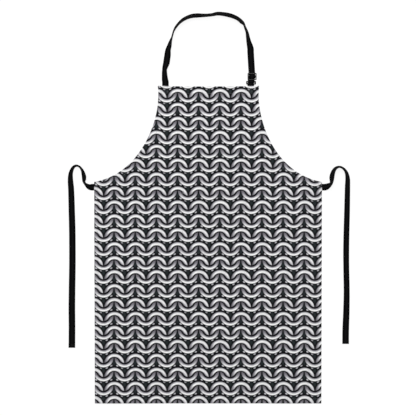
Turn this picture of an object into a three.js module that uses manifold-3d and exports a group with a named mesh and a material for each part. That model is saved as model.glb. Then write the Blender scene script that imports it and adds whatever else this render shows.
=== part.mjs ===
// A bib apron laid flat on its back: a printed cloth panel with a patch pocket, a webbing neck
// strap that adjusts at a three-bar slider, and a webbing waist tie at each side seam.
// Millimetres. +X is the wearer's left, +Y points up the bib, +Z is up from the floor, and the
// origin is on the floor under the middle of the panel.
import * as THREE from 'three';
import { mergeVertices } from 'three/addons/utils/BufferGeometryUtils.js';
import Module from 'manifold-3d';

const wasm = await Module();
wasm.setup();

// Cloth panel
const panelLength = 912;
const bibWidth = 290;
const waistWidth = 654;
const skirtWidth = 650;
const sideSeamLength = 636;
const armholeUpperPull = 195;
const armholeLowerPull = 85;
const armholeCornerTilt = 0.23;
const armholeSteps = 26;
const clothThickness = 0.8;

// Hems, turned twice to the back
const topHem = 22;
const sideHem = 12;
const bottomHem = 15;
const armholeHem = 9;

// Patch pocket
const pocketWidth = 148;
const pocketHeight = 181;
const pocketRise = 430;
const pocketTurning = 10;
const pocketTopHem = 22;

// Webbing, and what it is sewn into
const webbingWidth = 19;
const webbingThickness = 0.9;
const floorGap = 0.1;
const gap = 0.3;
const notchSideGap = 0.5;
const strapInset = 22.4;
const strapTuck = 19;
const tieDrop = 15;
const tieTuck = 10;
const stubGap = 0.8;

// Ring that joins the strap to its tab
const ringBar = 2.6;
const ringOpening = 5.6;
const ringSideClearance = 3.8;
const ringRail = 2.8;
const ringStandOff = 3.6;
const ringShift = 1.2;

// Three-bar slider
const sliderBar = 2.8;
const sliderSlot = 5.9;
const sliderSideClearance = 2;
const sliderRail = 2.7;
const sliderThickness = 2.4;
const sliderShift = 3.2;
const sliderToRing = 2.2;

// Run of the strap that the slider travels along
const runShift = 2.6;
const runTopShift = -0.6;
const runLength = 95;

// Hinge lines of the ties
const tieHingeStandOff = 2;

// Thread
const threadWidth = 0.8;
const threadThickness = 0.4;
const threadFromHemEdge = 2;
const cornerPull = 3;
const boxStitch = 14;
const boxStitchFromEdge = 2.5;
const tieStitchDepth = 5.5;
const tipStitchFromEnd = 8;

// Worked-out places
const panelTop = panelLength / 2;
const panelBottom = -panelLength / 2;
const sideCorner = panelBottom + sideSeamLength;
// The hem is as deep as the doubled webbing tucked into it, and carries the cloth off the floor
const hemDepth = floorGap + 2 * webbingThickness + gap;
const clothTop = hemDepth + clothThickness;
const webbingLevel = floorGap + webbingThickness / 2;
const layerPitch = webbingThickness + gap;
const strapX = bibWidth / 2 - strapInset;
const tieY = sideCorner - tieDrop;
const tieEdgeX = THREE.MathUtils.lerp(waistWidth, skirtWidth, tieDrop / sideSeamLength) / 2;
const ringInnerWidth = webbingWidth + ringSideClearance;
const ringHeight = ringOpening + 2 * ringBar;
const ringBottom = panelTop + ringStandOff;
const ringTop = ringBottom + ringHeight;
const neckHingeY = ringBottom + ringBar / 2;
const ringLoopRadius = ringBar / 2 + 0.5 + webbingThickness / 2;
const ringLevel = webbingLevel + ringLoopRadius;
const sliderInnerWidth = webbingWidth + sliderSideClearance;
const sliderHeight = 3 * sliderBar + 2 * sliderSlot;
const sliderY = ringTop + sliderToRing + sliderHeight / 2;
const sliderLevel = floorGap + 3 * layerPitch + sliderThickness / 2;

// Materials
const cloth = new THREE.MeshStandardMaterial({ color: 0x7b7c80, roughness: 0.85, metalness: 0 });
const webbing = new THREE.MeshStandardMaterial({ color: 0x101012, roughness: 0.8, metalness: 0 });
const plastic = new THREE.MeshStandardMaterial({ color: 0x1c1c1e, roughness: 0.35, metalness: 0 });
const thread = new THREE.MeshStandardMaterial({ color: 0x9b9ca0, roughness: 0.7, metalness: 0 });
const blackThread = new THREE.MeshStandardMaterial({ color: 0x18181a, roughness: 0.7, metalness: 0 });

const apron = new THREE.Group();

function addPart(name, geometry, material) {
  const mesh = new THREE.Mesh(geometry, material);
  mesh.name = name;
  apron.add(mesh);
}

// ---- Solids ----

function weld(geometry) {
  geometry.deleteAttribute('normal');
  geometry.deleteAttribute('uv');
  return mergeVertices(geometry, 1e-4);
}

function solidOf(geometry) {
  const welded = weld(geometry);
  return new wasm.Manifold(new wasm.Mesh({
    numProp: 3,
    vertProperties: Float32Array.from(welded.attributes.position.array),
    triVerts: Uint32Array.from(welded.index.array),
  }));
}

function geometryOf(solid) {
  const mesh = solid.getMesh();
  const geometry = new THREE.BufferGeometry();
  geometry.setAttribute('position', new THREE.BufferAttribute(mesh.vertProperties, 3));
  geometry.setIndex(new THREE.BufferAttribute(mesh.triVerts, 1));
  return geometry;
}

function plate(outline, holes, depth, bottom) {
  const shape = new THREE.Shape(outline);
  shape.holes = holes.map((hole) => new THREE.Path(hole));
  const geometry = new THREE.ExtrudeGeometry(shape, { depth, bevelEnabled: false });
  return geometry.translate(0, 0, bottom);
}

function block(width, length, height, x, y, bottom) {
  const geometry = new THREE.BoxGeometry(width, length, height);
  return geometry.translate(x, y, bottom + height / 2);
}

// ---- Cloth panel ----

function armhole(side) {
  const corner = new THREE.Vector2(waistWidth / 2, sideCorner);
  const bib = new THREE.Vector2(bibWidth / 2, panelTop);
  const lowerPull = new THREE.Vector2(
    -armholeLowerPull * Math.cos(armholeCornerTilt),
    armholeLowerPull * Math.sin(armholeCornerTilt),
  );
  const upperPull = new THREE.Vector2(0, -armholeUpperPull);
  const curve = new THREE.CubicBezierCurve(
    corner,
    corner.clone().add(lowerPull),
    bib.clone().add(upperPull),
    bib,
  );
  return curve.getPoints(armholeSteps).map((point) => new THREE.Vector2(side * point.x, point.y));
}

// The outline runs anticlockwise from the left end of the bottom edge. Each edge carries the
// depth of the hem that is turned along it.
function panelEdges() {
  const rightArmhole = armhole(1);
  const leftArmhole = armhole(-1).reverse();
  const corners = [
    { point: new THREE.Vector2(-skirtWidth / 2, panelBottom), hem: bottomHem },
    { point: new THREE.Vector2(skirtWidth / 2, panelBottom), hem: sideHem },
  ];
  rightArmhole.forEach((point, i) => {
    corners.push({ point, hem: i < armholeSteps ? armholeHem : topHem });
  });
  leftArmhole.forEach((point, i) => {
    corners.push({ point, hem: i < armholeSteps ? armholeHem : sideHem });
  });
  return corners;
}

// Moves every edge inwards by its own distance and finds where neighbouring edges now cross.
function insetOutline(edges, distanceOf) {
  const count = edges.length;
  const lines = edges.map((edge, i) => {
    const along = edges[(i + 1) % count].point.clone().sub(edge.point).normalize();
    const inward = new THREE.Vector2(-along.y, along.x);
    return { start: edge.point.clone().addScaledVector(inward, distanceOf(edge)), along };
  });
  return lines.map((line, i) => {
    const before = lines[(i + count - 1) % count];
    const turn = before.along.cross(line.along);
    const reach = line.start.clone().sub(before.start).cross(line.along) / turn;
    return Math.abs(turn) < 1e-6 ? line.start : before.start.clone().addScaledVector(before.along, reach);
  });
}

const edges = panelEdges();
const outline = edges.map((edge) => edge.point);
const hemInside = insetOutline(edges, (edge) => edge.hem);
const stitchLine = insetOutline(edges, (edge) => edge.hem - threadFromHemEdge);

const notchWidth = webbingWidth + 2 * notchSideGap;
const notchHeight = hemDepth + 1;
const notchBottom = -1;
const strapNotchDepth = strapTuck + gap;
const tieNotchDepth = tieTuck + gap;
const notchOverrun = 5;

function strapNotch(side) {
  const length = strapNotchDepth + notchOverrun;
  const y = panelTop + notchOverrun - length / 2;
  return solidOf(block(notchWidth, length, notchHeight, side * strapX, y, notchBottom));
}

function tieNotch(side) {
  const length = tieNotchDepth + notchOverrun;
  const x = tieEdgeX + notchOverrun - length / 2;
  return solidOf(block(length, notchWidth, notchHeight, side * x, tieY, notchBottom));
}

const overlap = clothThickness / 2;
let panel = solidOf(plate(outline, [], clothThickness, hemDepth));
panel = panel.add(solidOf(plate(outline, [hemInside], hemDepth + overlap, 0)));
for (const side of [-1, 1]) {
  panel = panel.subtract(strapNotch(side));
  panel = panel.subtract(tieNotch(side));
}
addPart('apron_panel', geometryOf(panel), cloth);

// ---- Patch pocket: a front sheet with its edges turned under, and a deeper hem at the mouth ----

const pocketBottomY = panelBottom + pocketRise;
const pocketMouthY = pocketBottomY + pocketHeight;
const turningLevel = clothTop + gap;
const pocketTop = turningLevel + 2 * clothThickness;

function rectangle(left, right, bottom, top) {
  return [
    new THREE.Vector2(left, bottom),
    new THREE.Vector2(right, bottom),
    new THREE.Vector2(right, top),
    new THREE.Vector2(left, top),
  ];
}

const pocketOutline = rectangle(-pocketWidth / 2, pocketWidth / 2, pocketBottomY, pocketMouthY);
const pocketInside = rectangle(
  -pocketWidth / 2 + pocketTurning,
  pocketWidth / 2 - pocketTurning,
  pocketBottomY + pocketTurning,
  pocketMouthY - pocketTopHem,
);
const pocketFront = plate(pocketOutline, [], clothThickness, turningLevel + clothThickness);
const pocketTurnings = plate(pocketOutline, [pocketInside], clothThickness + overlap, turningLevel);
const pocket = solidOf(pocketFront).add(solidOf(pocketTurnings));
addPart('pocket', geometryOf(pocket), cloth);

// ---- Webbing ----

// A strip of even section bent along a path: frameAt(t) gives its middle, the direction of its
// width and the direction of its thickness.
function bentStrip(width, thickness, steps, frameAt) {
  const strip = new THREE.BoxGeometry(width, thickness, 1, 1, 1, steps);
  const position = strip.attributes.position;
  const corner = new THREE.Vector3();
  for (let i = 0; i < position.count; i += 1) {
    corner.fromBufferAttribute(position, i);
    const { middle, across, through } = frameAt(corner.z + 0.5);
    const bent = middle.clone();
    bent.addScaledVector(across, corner.x);
    bent.addScaledVector(through, corner.y);
    position.setXYZ(i, bent.x, bent.y, bent.z);
  }
  return weld(strip);
}

function tangentOf(pointAt, t) {
  const step = 1e-4;
  const before = pointAt(Math.max(t - step, 0));
  const after = pointAt(Math.min(t + step, 1));
  return after.sub(before).normalize();
}

// Webbing lying on the floor along a route of [x, y, tilt] points. A tilt of 0 degrees lies flat
// and 90 stands on edge; whatever the tilt, the lower edge rests at the same height. The steps are
// short enough that the two faces stay apart where the webbing twists.
const floorWebbingSteps = 8;

function floorWebbing(route) {
  const path = new THREE.CatmullRomCurve3(route.map(([x, y]) => new THREE.Vector3(x, y, 0)));
  const spans = route.length - 1;
  const tiltAt = (t) => {
    const span = Math.min(Math.floor(t * spans), spans - 1);
    const share = t * spans - span;
    return THREE.MathUtils.degToRad(THREE.MathUtils.lerp(route[span][2], route[span + 1][2], share));
  };
  const pointAt = (t) => {
    const tilt = tiltAt(t);
    const point = path.getPoint(t);
    const rise = (webbingWidth * Math.sin(tilt) + webbingThickness * Math.cos(tilt)) / 2;
    point.z = floorGap + rise;
    return point;
  };
  const up = new THREE.Vector3(0, 0, 1);
  return bentStrip(webbingWidth, webbingThickness, spans * floorWebbingSteps, (t) => {
    const tangent = tangentOf(pointAt, t);
    const level = new THREE.Vector3().crossVectors(tangent, up).normalize();
    const lift = new THREE.Vector3().crossVectors(level, tangent);
    const tilt = tiltAt(t);
    const across = level.multiplyScalar(Math.cos(tilt)).addScaledVector(lift, Math.sin(tilt));
    const through = new THREE.Vector3().crossVectors(tangent, across);
    return { middle: pointAt(t), across, through };
  });
}

// Webbing threaded through the hardware: its width stays along X.
function threadedWebbing(route, stepsPerPoint) {
  const path = new THREE.CatmullRomCurve3(route.map(([x, y, z]) => new THREE.Vector3(x, y, z)));
  const pointAt = (t) => path.getPoint(t);
  const across = new THREE.Vector3(1, 0, 0);
  return bentStrip(webbingWidth, webbingThickness, (route.length - 1) * stepsPerPoint, (t) => {
    const tangent = tangentOf(pointAt, t);
    const through = new THREE.Vector3().crossVectors(tangent, across).normalize();
    return { middle: pointAt(t), across, through };
  });
}

// ---- Neck strap ----

// From the left corner of the bib, up round the neck and down to the adjusting run on the right:
// x, height above the hinge line, and tilt. The strap stands on edge round the arch.
const neckRoute = [
  [-122.6, 0.4, 0], [-122.6, 5.5, 4], [-123.7, 12.5, 18], [-124.6, 22, 32], [-125, 41, 46],
  [-122.4, 51.5, 30], [-120, 60, 10], [-118.1, 72, 2], [-116.4, 84.5, 15], [-114.9, 97.5, 35], [-111.2, 109.5, 48],
  [-107.8, 122.5, 66], [-103.4, 135.5, 80], [-99.4, 149.5, 84], [-93.1, 162.5, 76],
  [-83.9, 174.5, 74], [-72.7, 184.5, 66], [-59.8, 191.5, 60], [-45.4, 196, 54],
  [-30.7, 197.5, 52], [-16.1, 197.5, 60], [-2, 198, 66], [12.1, 199.5, 65], [27, 202.5, 60],
  [42.2, 201.5, 58], [57.2, 199, 54], [72.1, 194.5, 54], [85.9, 187.5, 58], [97.7, 177, 60],
  [104, 168.5, 82], [105.7, 163.5, 76], [111.5, 149, 66], [114.4, 133.5, 56],
  [117.2, 119.5, 42], [120.3, 108, 22], [122, 100.5, 4], [122, 95.3, 0],
];
const neckRouteSpread = strapX / 122.6;
const neckRouteOnApron = neckRoute.map(([x, rise, tilt]) => [
  x * neckRouteSpread,
  neckHingeY + rise,
  tilt,
]);
addPart('neck_strap', floorWebbing(neckRouteOnApron), webbing);

const stubLength = strapTuck + neckHingeY - stubGap - panelTop;
const stubY = panelTop - strapTuck + stubLength / 2;
addPart(
  'neck_strap_end',
  weld(block(webbingWidth, stubLength, webbingThickness, -strapX, stubY, floorGap)),
  webbing,
);

// The adjusting run: down under the slider's top bar, over the middle bar, under the bottom bar,
// over and round the ring's top bar, back below the slider, and up round the middle bar to a sewn
// tail. Places are [distance from the slider's middle, height].
const half = webbingThickness / 2;
const middleBarSide = sliderBar / 2 + gap + half;
const middleBarTop = sliderLevel + sliderThickness / 2 + gap + half;
const overTop = middleBarTop + layerPitch;
const underBar = sliderLevel - sliderThickness / 2 - gap - half;
const tailLevel = webbingLevel + layerPitch;
const ringBarFromSlider = ringTop - ringBar / 2 - sliderY;
const sliderToGap = -(sliderHeight + sliderToRing) / 2;
const runTop = neckHingeY + runLength - sliderY;
const runTaper = 25;

function ringWrap(degrees) {
  const angle = THREE.MathUtils.degToRad(degrees);
  const out = ringLoopRadius * Math.cos(angle);
  const rise = ringLoopRadius * Math.sin(angle);
  return [ringBarFromSlider + out, ringLevel + rise];
}

const runDown = [
  [runTop, webbingLevel],
  [(runTop + runTaper) / 2, webbingLevel],
  [runTaper, webbingLevel + 0.1],
  [15, underBar - 1.7],
  [sliderHeight / 2 + 1, underBar - 0.9],
  [sliderHeight / 2 - 2, underBar - 0.65],
  [sliderHeight / 2 - 3.5, underBar - 0.05],
  [sliderBar / 2 + 4.2, underBar + 1.25],
  [sliderBar / 2 + 3.2, sliderLevel + 0.9],
  [sliderBar / 2 + 2.1, overTop - 0.95],
  [sliderBar / 2 + 0.4, overTop - 0.15],
  [0, overTop],
  [-sliderBar / 2 - 0.4, overTop - 0.15],
  [-sliderBar / 2 - 2.1, overTop - 0.95],
  [-sliderBar / 2 - 3.2, sliderLevel + 0.9],
  [-sliderBar / 2 - 4.2, underBar + 1.3],
  [-sliderHeight / 2 + 3.9, underBar + 0.25],
  [-sliderHeight / 2 + 2.7, underBar],
  [-sliderHeight / 2 + 0.9, underBar],
  [-sliderHeight / 2 - 0.4, underBar + 0.08],
  [sliderToGap, underBar + 0.75],
];
const wrapAngles = [30, 60, 90, 120, 150, 180, 210, 240, 270];
const runBack = [
  [-sliderHeight / 2 - 0.9, webbingLevel],
  [-5, webbingLevel],
  [0.2, webbingLevel + 0.1],
  [middleBarSide - 0.15, webbingLevel + 0.8],
  [middleBarSide + 0.2, underBar - 0.3],
  [middleBarSide, sliderLevel],
  [middleBarSide - 0.4, middleBarTop - 0.5],
  [0, middleBarTop],
  [-middleBarSide + 0.4, middleBarTop - 0.5],
  [-middleBarSide, sliderLevel],
  [-middleBarSide - 0.2, underBar],
  [-middleBarSide - 1.2, tailLevel + 0.25],
  [-middleBarSide - 2.8, tailLevel],
  [-sliderHeight / 2 - 0.9, tailLevel],
];
const runPlaces = [...runDown, ...wrapAngles.map(ringWrap), ...runBack];
const runRoute = runPlaces.map(([along, height]) => {
  const upRun = Math.max(along, 0) / runTop;
  const x = strapX + THREE.MathUtils.lerp(runShift, runTopShift, upRun);
  return [x, sliderY + along, height];
});
addPart('strap_adjusting_run', threadedWebbing(runRoute, 3), webbing);

// Tab that holds the ring: folded round the ring's lower bar, both layers tucked into the hem.
const tabRoot = panelTop - strapTuck;
const tabLoopSteps = 10;
const tabMerge = 2.6;

function tabSection() {
  const outer = ringLoopRadius + half;
  const inner = ringLoopRadius - half;
  const centre = new THREE.Vector2(neckHingeY, ringLevel);
  const shape = new THREE.Shape();
  const plyTop = floorGap + 2 * webbingThickness;
  shape.moveTo(tabRoot, floorGap);
  shape.lineTo(centre.x, floorGap);
  shape.absarc(centre.x, centre.y, outer, -Math.PI / 2, Math.PI * 0.75, false);
  shape.lineTo(panelTop, plyTop);
  shape.lineTo(tabRoot, plyTop);
  shape.closePath();
  const eye = new THREE.Path();
  eye.moveTo(centre.x - tabMerge, floorGap + webbingThickness);
  eye.lineTo(centre.x, centre.y - inner);
  eye.absarc(centre.x, centre.y, inner, -Math.PI / 2, Math.PI * 0.75, false);
  eye.closePath();
  shape.holes.push(eye);
  return shape;
}

// The section is drawn across (y, z) and pulled out along X.
const tabShape = tabSection();
const tabGeometry = new THREE.ExtrudeGeometry(tabShape, {
  depth: webbingWidth,
  bevelEnabled: false,
  curveSegments: 2 * tabLoopSteps,
});
const acrossApron = new THREE.Matrix4().makeBasis(
  new THREE.Vector3(0, 1, 0),
  new THREE.Vector3(0, 0, 1),
  new THREE.Vector3(1, 0, 0),
);
tabGeometry.applyMatrix4(acrossApron);
tabGeometry.translate(strapX - webbingWidth / 2, 0, 0);
addPart('strap_tab', weld(tabGeometry), webbing);

// ---- Ring and slider ----

function roundedRectangle(shape, width, height, radius) {
  const right = width / 2 - radius;
  const top = height / 2 - radius;
  shape.moveTo(-right, -top - radius);
  shape.absarc(right, -top, radius, -Math.PI / 2, 0, false);
  shape.absarc(right, top, radius, 0, Math.PI / 2, false);
  shape.absarc(-right, top, radius, Math.PI / 2, Math.PI, false);
  shape.absarc(-right, -top, radius, Math.PI, Math.PI * 1.5, false);
  return shape;
}

// A moulded frame of one or more openings, its edges rounded by edgeRadius all round.
function mouldedFrame({ width, height, openingWidth, openings, thickness, edgeRadius, corner }) {
  const shape = roundedRectangle(
    new THREE.Shape(),
    width - 2 * edgeRadius,
    height - 2 * edgeRadius,
    corner,
  );
  for (const { centre, size } of openings) {
    const hole = new THREE.Shape();
    const grown = 2 * edgeRadius;
    roundedRectangle(hole, openingWidth + grown, size + grown, corner / 2 + edgeRadius);
    const points = hole.getPoints(4).map((point) => point.add(new THREE.Vector2(0, centre)));
    shape.holes.push(new THREE.Path(points));
  }
  const geometry = new THREE.ExtrudeGeometry(shape, {
    depth: thickness - 2 * edgeRadius,
    bevelThickness: edgeRadius,
    bevelSize: edgeRadius,
    bevelSegments: 3,
    curveSegments: 4,
  });
  return geometry.translate(0, 0, -(thickness - 2 * edgeRadius) / 2);
}

const ring = mouldedFrame({
  width: ringInnerWidth + 2 * ringRail,
  height: ringHeight,
  openingWidth: ringInnerWidth,
  openings: [{ centre: 0, size: ringOpening }],
  thickness: ringBar,
  edgeRadius: 0.9,
  corner: 2,
});
ring.translate(strapX + ringShift, ringBottom + ringHeight / 2, ringLevel);
addPart('strap_ring', weld(ring), plastic);

const slotFromMiddle = (sliderBar + sliderSlot) / 2;
const slider = mouldedFrame({
  width: sliderInnerWidth + 2 * sliderRail,
  height: sliderHeight,
  openingWidth: sliderInnerWidth,
  openings: [
    { centre: -slotFromMiddle, size: sliderSlot },
    { centre: slotFromMiddle, size: sliderSlot },
  ],
  thickness: sliderThickness,
  edgeRadius: 0.8,
  corner: 1.6,
});
slider.translate(strapX + sliderShift, sliderY, sliderLevel);
addPart('strap_slider', weld(slider), plastic);

// ---- Waist ties ----

// From the hinge line at the side seam: [outwards, along the seam, tilt]. Each tie turns up beside
// the armhole corner, bends over and runs back down beside the skirt.
const leftTieRoute = [
  [0, 0, 0], [6, 0, 5], [12.4, 1.7, 32], [19, 5.7, 60], [24.2, 10.3, 72], [26.7, 15.5, 66],
  [26.8, 22, 52], [27, 29.3, 48], [28.4, 36.5, 52], [30.6, 44.6, 62], [35, 53, 72],
  [41, 59.3, 77], [48.3, 61.7, 77], [55.5, 59, 75], [61, 51.4, 68], [64.7, 41.3, 60],
  [66.1, 29.3, 50], [65.8, 15, 40], [64.4, -2.3, 34], [63.2, -37, 28], [62.4, -71.3, 24],
  [61.2, -117, 20], [60.7, -169, 18], [60.7, -221, 18], [61.8, -295, 14], [62.4, -347, 8],
  [62.1, -399, 0], [62.4, -460.5, 0],
];
const rightTieRoute = [
  [0, 0, 0], [7, 0, 5], [14.2, 2.4, 32], [20.8, 7, 60], [25, 12.7, 72], [25.9, 20, 58],
  [26.2, 28, 48], [27.9, 37, 52], [31.6, 47.1, 62], [38.2, 55.2, 70], [47.7, 58.3, 76],
  [56.6, 55.2, 72], [64.4, 47.7, 66], [69, 38, 56], [71.6, 23.5, 44], [71.3, 3.4, 36],
  [70.7, -31, 32], [69.8, -77, 28], [68.4, -129, 26], [67.5, -186, 24], [67.8, -232, 26],
  [69, -301, 24], [68.1, -359, 14], [66.4, -410, 0], [66.1, -449.4, 0],
];
const tieHingeX = tieEdgeX + tieHingeStandOff;
const tieStubLength = tieTuck + tieHingeStandOff - stubGap;
const tieStubX = tieEdgeX - tieTuck + tieStubLength / 2;
const tipStitchWidth = webbingWidth - 4;

for (const [name, side, route] of [['left', -1, leftTieRoute], ['right', 1, rightTieRoute]]) {
  const onApron = route.map(([out, up, tilt]) => [side * (tieHingeX + out), tieY + up, tilt]);
  const [tipX, tipY] = onApron[onApron.length - 1];
  const stitchY = tipY + tipStitchFromEnd;
  const stitchLevel = floorGap + webbingThickness + gap;
  addPart(`${name}_tie`, floorWebbing(onApron), webbing);
  addPart(
    `${name}_tie_end`,
    weld(block(tieStubLength, webbingWidth, webbingThickness, side * tieStubX, tieY, floorGap)),
    webbing,
  );
  addPart(
    `${name}_tie_tip_stitch`,
    weld(block(tipStitchWidth, threadWidth, threadThickness, tipX, stitchY, stitchLevel)),
    blackThread,
  );
}

// ---- Thread ----

const threadLevel = clothTop + gap;

// One row of stitching along a line of points on the cloth, stopping short of its corners.
function stitchRow(points) {
  const route = points.map(({ x, y }) => new THREE.Vector3(x, y, threadLevel + threadThickness / 2));
  const last = route.length - 1;
  const pulled = (end, next) => end.clone().lerp(next, Math.min(cornerPull / end.distanceTo(next), 0.9));
  const ends = [pulled(route[0], route[1]), pulled(route[last], route[last - 1])];
  const path = new THREE.CatmullRomCurve3([ends[0], ...route.slice(1, last), ends[1]]);
  const through = new THREE.Vector3(0, 0, 1);
  return bentStrip(threadWidth, threadThickness, Math.max(last, 1), (t) => {
    const tangent = tangentOf((s) => path.getPoint(s), t);
    const across = new THREE.Vector3().crossVectors(through, tangent);
    return { middle: path.getPoint(t), across, through };
  });
}

const firstArmhole = 2;
const firstBib = firstArmhole + armholeSteps;
const secondArmhole = firstBib + 1;
const lastCorner = secondArmhole + armholeSteps;
const hemRows = {
  hem_stitch_bottom: [stitchLine[0], stitchLine[1]],
  hem_stitch_right_side: [stitchLine[1], stitchLine[firstArmhole]],
  hem_stitch_right_armhole: stitchLine.slice(firstArmhole, firstBib + 1),
  hem_stitch_top: [stitchLine[firstBib], stitchLine[secondArmhole]],
  hem_stitch_left_armhole: stitchLine.slice(secondArmhole, lastCorner + 1),
  hem_stitch_left_side: [stitchLine[lastCorner], stitchLine[0]],
};
for (const [name, points] of Object.entries(hemRows)) {
  addPart(name, stitchRow(points), thread);
}

// A box of stitching with a cross in it, over each strap end that is tucked into the hem.
function boxAndCross(width, length, x, y, bottom) {
  const across = width - threadWidth;
  const along = length - threadWidth;
  const diagonal = Math.hypot(across, along);
  const slant = Math.atan2(along, across);
  const rows = [
    block(width, threadWidth, threadThickness, 0, along / 2, 0),
    block(width, threadWidth, threadThickness, 0, -along / 2, 0),
    block(threadWidth, length, threadThickness, across / 2, 0, 0),
    block(threadWidth, length, threadThickness, -across / 2, 0, 0),
    block(diagonal, threadWidth, threadThickness, 0, 0, 0).rotateZ(slant),
    block(diagonal, threadWidth, threadThickness, 0, 0, 0).rotateZ(-slant),
  ];
  const joined = rows.map(solidOf).reduce((sum, row) => sum.add(row));
  return geometryOf(joined).translate(x, y, bottom);
}

const strapStitchY = panelTop - boxStitchFromEdge - boxStitch / 2;
const tieStitchX = tieEdgeX - boxStitchFromEdge - tieStitchDepth / 2;
for (const [side, strapName, tieName] of [
  [-1, 'neck_strap_stitch', 'left_tie_stitch'],
  [1, 'strap_tab_stitch', 'right_tie_stitch'],
]) {
  addPart(
    strapName,
    boxAndCross(boxStitch, boxStitch, side * strapX, strapStitchY, threadLevel),
    thread,
  );
  addPart(
    tieName,
    boxAndCross(tieStitchDepth, boxStitch, side * tieStitchX, tieY, threadLevel),
    thread,
  );
}

// The pocket's seam runs down one side, along the bottom and up the other; its hem row crosses
// just below the mouth.
const pocketThreadLevel = pocketTop + gap;
const seamX = pocketWidth / 2 - threadFromHemEdge;
const seamBottom = pocketBottomY + threadFromHemEdge;
const seamTop = pocketMouthY - threadFromHemEdge;
const seamLength = seamTop - seamBottom;
const seamMiddle = (seamTop + seamBottom) / 2;
const pocketSeam = [
  block(threadWidth, seamLength, threadThickness, -seamX, seamMiddle, pocketThreadLevel),
  block(threadWidth, seamLength, threadThickness, seamX, seamMiddle, pocketThreadLevel),
  block(2 * seamX + threadWidth, threadWidth, threadThickness, 0, seamBottom, pocketThreadLevel),
];
const pocketHemRow = block(
  2 * (seamX - cornerPull),
  threadWidth,
  threadThickness,
  0,
  pocketMouthY - pocketTopHem + threadFromHemEdge,
  pocketThreadLevel,
);
const joinedSeam = pocketSeam.map(solidOf).reduce((sum, row) => sum.add(row));
addPart('pocket_seam_stitch', geometryOf(joinedSeam), thread);
addPart('pocket_hem_stitch', weld(pocketHemRow), thread);

export default apron;
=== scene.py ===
import math

import bmesh
import bpy
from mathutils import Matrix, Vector, kdtree, noise


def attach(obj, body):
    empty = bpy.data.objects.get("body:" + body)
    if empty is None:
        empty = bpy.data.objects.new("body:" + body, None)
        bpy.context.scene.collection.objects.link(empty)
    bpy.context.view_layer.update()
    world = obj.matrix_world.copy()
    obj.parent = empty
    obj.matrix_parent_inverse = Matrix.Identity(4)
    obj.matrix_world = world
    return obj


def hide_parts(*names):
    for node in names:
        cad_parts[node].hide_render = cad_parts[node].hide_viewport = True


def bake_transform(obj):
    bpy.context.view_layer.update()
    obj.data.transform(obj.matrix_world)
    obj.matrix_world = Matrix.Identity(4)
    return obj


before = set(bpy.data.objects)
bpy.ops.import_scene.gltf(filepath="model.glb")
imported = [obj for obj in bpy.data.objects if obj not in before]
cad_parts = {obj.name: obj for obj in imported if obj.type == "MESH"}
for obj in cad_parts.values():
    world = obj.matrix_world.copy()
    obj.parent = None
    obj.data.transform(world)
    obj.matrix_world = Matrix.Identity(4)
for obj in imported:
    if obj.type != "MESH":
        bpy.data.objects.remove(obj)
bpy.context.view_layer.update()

# ---- Camera ----
# Straight above the apron, through a long lens, so that nothing leans or shrinks.
view_width = 1.1954


def placed(name, data):
    """Puts a new object in the scene."""
    piece = bpy.data.objects.new(name, data)
    bpy.context.scene.collection.objects.link(piece)
    return piece


camera = placed("camera", bpy.data.cameras.new("camera"))
camera.data.lens = 150
camera.data.sensor_width = 36
camera.location = (-0.0003, 0.1052, view_width * camera.data.lens / camera.data.sensor_width)
camera.data.clip_end = 100
bpy.context.scene.camera = camera

# ---- Neck strap ----
# One length of black woven webbing. Its left end is tucked into the top hem, and from there it
# stands half on edge round the neck and comes down flat to the slider on the right.
webbing_width = 0.019
webbing_thickness = 0.0009
floor_gap = 0.0001
webbing_ribs = 9
rib_depth = 0.00011
selvedge = 0.0004
pick_length = 0.0011
flat_level = floor_gap + webbing_thickness / 2
twist_share = 0.94
bib_top = 0.456
strap_middle = 0.1226
neck_hinge_y = 0.4609
strap_tuck = 0.019

# Across the bib, height above the hinge line, and tilt in degrees.
neck_route = [
    (-0.1226, 0.0004, 0), (-0.1226, 0.0055, 4), (-0.1237, 0.0125, 18), (-0.1246, 0.022, 32),
    (-0.125, 0.041, 46), (-0.1224, 0.0515, 30), (-0.12, 0.06, 10), (-0.1181, 0.072, 2),
    (-0.1164, 0.0845, 15), (-0.1149, 0.0975, 35), (-0.1112, 0.1095, 48), (-0.1078, 0.1225, 66),
    (-0.1034, 0.1355, 80), (-0.0994, 0.1495, 79), (-0.0931, 0.1623, 70), (-0.0839, 0.174, 67),
    (-0.0727, 0.1838, 58), (-0.0598, 0.1909, 54), (-0.0454, 0.1954, 48), (-0.0307, 0.1968, 46),
    (-0.0161, 0.1968, 54), (-0.002, 0.1974, 59), (0.0121, 0.1989, 59), (0.027, 0.2019, 53),
    (0.0422, 0.2009, 51), (0.0572, 0.1984, 47), (0.0721, 0.1939, 48), (0.0859, 0.187, 53),
    (0.0977, 0.1766, 54), (0.104, 0.1683, 74), (0.1057, 0.1635, 72), (0.1115, 0.149, 66),
    (0.1144, 0.1335, 56), (0.1172, 0.1195, 42), (0.1203, 0.108, 22), (0.122, 0.1005, 4),
    (0.122, 0.0953, 0),
]
neck_points = [(x, neck_hinge_y + rise, tilt) for x, rise, tilt in neck_route]
# The strap's last points on the right belong to the run that the slider shortens.
run_takes_over = len(neck_route) - 4


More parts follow.
